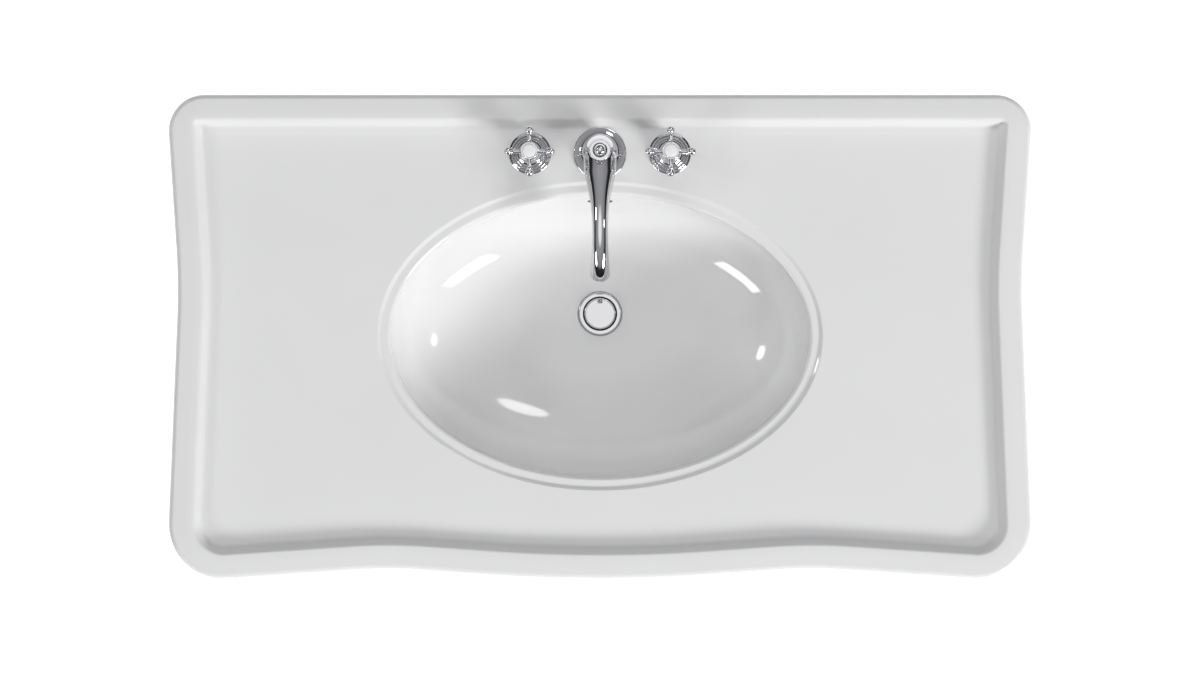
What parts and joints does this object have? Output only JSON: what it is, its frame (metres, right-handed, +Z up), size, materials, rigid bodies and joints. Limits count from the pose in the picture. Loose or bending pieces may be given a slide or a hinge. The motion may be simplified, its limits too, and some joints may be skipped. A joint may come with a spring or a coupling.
{
  "type": "console wash basin",
  "caption": "Wide ceramic console wash basin with a waved rim and an oval bowl, on a turned metal leg stand, with cross-handle taps, a swan-neck spout and a pop-up waste.",
  "frame": {"origin": "on the floor, under the middle of the basin's outline", "axes": "+Z up, +Y towards the wall, +X to the user's right; the user stands at -Y"},
  "size_m": [1.22, 0.685, 0.95],
  "materials": {
    "basin_glaze": "gloss white glaze",
    "index_porcelain": "gloss white",
    "disc_ceramic": "ground",
    "tap_chrome": "polished chrome plate on brass",
    "stand_chrome": "polished chrome plate on brass",
    "raw_brass": "machined",
    "copper_tube": "drawn copper",
    "steel": "stainless",
    "rubber": "matt black"
  },
  "bodies": {
    "basin_and_stand": {"back_left_leg": "stand_chrome", "back_rail": "stand_chrome", "back_right_leg": "stand_chrome", "basin": "basin_glaze", "bearing_pads": "rubber", "cold_cartridge": "raw_brass", "cold_escutcheon": "tap_chrome", "cold_valve_body": "raw_brass", "corner_plates": "stand_chrome", "cross_rail": "stand_chrome", "cross_rail_boss": "stand_chrome", "cross_tubes": "copper_tube", "deck_locknuts": "raw_brass", "deck_washers": "rubber", "fixed_discs": "disc_ceramic", "front_left_leg": "stand_chrome", "front_right_leg": "stand_chrome", "front_towel_rail": "stand_chrome", "hot_cartridge": "raw_brass", "hot_escutcheon": "tap_chrome", "hot_valve_body": "raw_brass", "leg_plugs": "raw_brass", "lower_joints": "stand_chrome", "lower_side_rails": "stand_chrome", "pivot_nut": "tap_chrome", "plate_screws": "steel", "side_towel_rails": "stand_chrome", "spout_aerator": "tap_chrome", "spout_body": "tap_chrome", "spout_shank": "raw_brass", "spout_tee": "raw_brass", "tube_nuts": "raw_brass", "upper_joints": "stand_chrome", "waste_body": "tap_chrome", "waste_gasket": "rubber", "waste_locknut": "raw_brass", "waste_tailpiece": "tap_chrome"},
    "hot_tap": {"hot_handle": "tap_chrome", "hot_index": "index_porcelain", "hot_handle_screw": "steel", "hot_spindle": "raw_brass", "hot_moving_disc": "disc_ceramic"},
    "cold_tap": {"cold_handle": "tap_chrome", "cold_index": "index_porcelain", "cold_handle_screw": "steel", "cold_spindle": "raw_brass", "cold_moving_disc": "disc_ceramic"},
    "lift": {"lift_rod": "tap_chrome", "lift_knob": "tap_chrome", "clevis_strap": "tap_chrome", "clevis_screw": "tap_chrome"},
    "pivot": {"pivot_rod": "tap_chrome", "spring_clip": "steel"},
    "plug": {"waste_stopper": "tap_chrome", "stopper_seal": "rubber"},
    "front_left_levelling_foot": {"front_left_foot": "stand_chrome"},
    "front_right_levelling_foot": {"front_right_foot": "stand_chrome"},
    "back_left_levelling_foot": {"back_left_foot": "stand_chrome"},
    "back_right_levelling_foot": {"back_right_foot": "stand_chrome"}
  },
  "joints": [
    {"name": "hot_turn", "type": "hinge", "parent": "basin_and_stand", "child": "hot_tap", "pos_m": [-0.099, 0.26, 0.911], "axis": [0, 0, 1], "range_deg": [0, 90]},
    {"name": "cold_turn", "type": "hinge", "parent": "basin_and_stand", "child": "cold_tap", "pos_m": [0.099, 0.26, 0.911], "axis": [0, 0, -1], "range_deg": [0, 90]},
    {"name": "lift_slide", "type": "slide", "parent": "basin_and_stand", "child": "lift", "axis": [0, 0, 1], "range_m": [0, 0.04459]},
    {"name": "pivot_turn", "type": "hinge", "parent": "basin_and_stand", "child": "pivot", "pos_m": [0, 0.061, 0.664], "axis": [1, 0, 0], "range_deg": [0, 13.1]},
    {"name": "plug_slide", "type": "slide", "parent": "basin_and_stand", "child": "plug", "axis": [0, 0, 1], "range_m": [-0.0062, 0]},
    {"name": "front_left_foot_screw", "type": "slide", "parent": "basin_and_stand", "child": "front_left_levelling_foot", "axis": [0, 0, -1], "range_m": [0, 0.012]},
    {"name": "front_right_foot_screw", "type": "slide", "parent": "basin_and_stand", "child": "front_right_levelling_foot", "axis": [0, 0, -1], "range_m": [0, 0.012]},
    {"name": "back_left_foot_screw", "type": "slide", "parent": "basin_and_stand", "child": "back_left_levelling_foot", "axis": [0, 0, -1], "range_m": [0, 0.012]},
    {"name": "back_right_foot_screw", "type": "slide", "parent": "basin_and_stand", "child": "back_right_levelling_foot", "axis": [0, 0, -1], "range_m": [0, 0.012]}
  ],
  "couplings": [
    {"joint": "pivot_turn", "follows": "lift_slide", "rad_per_m": 5.0879},
    {"joint": "plug_slide", "follows": "lift_slide", "ratio": -0.13797}
  ]
}
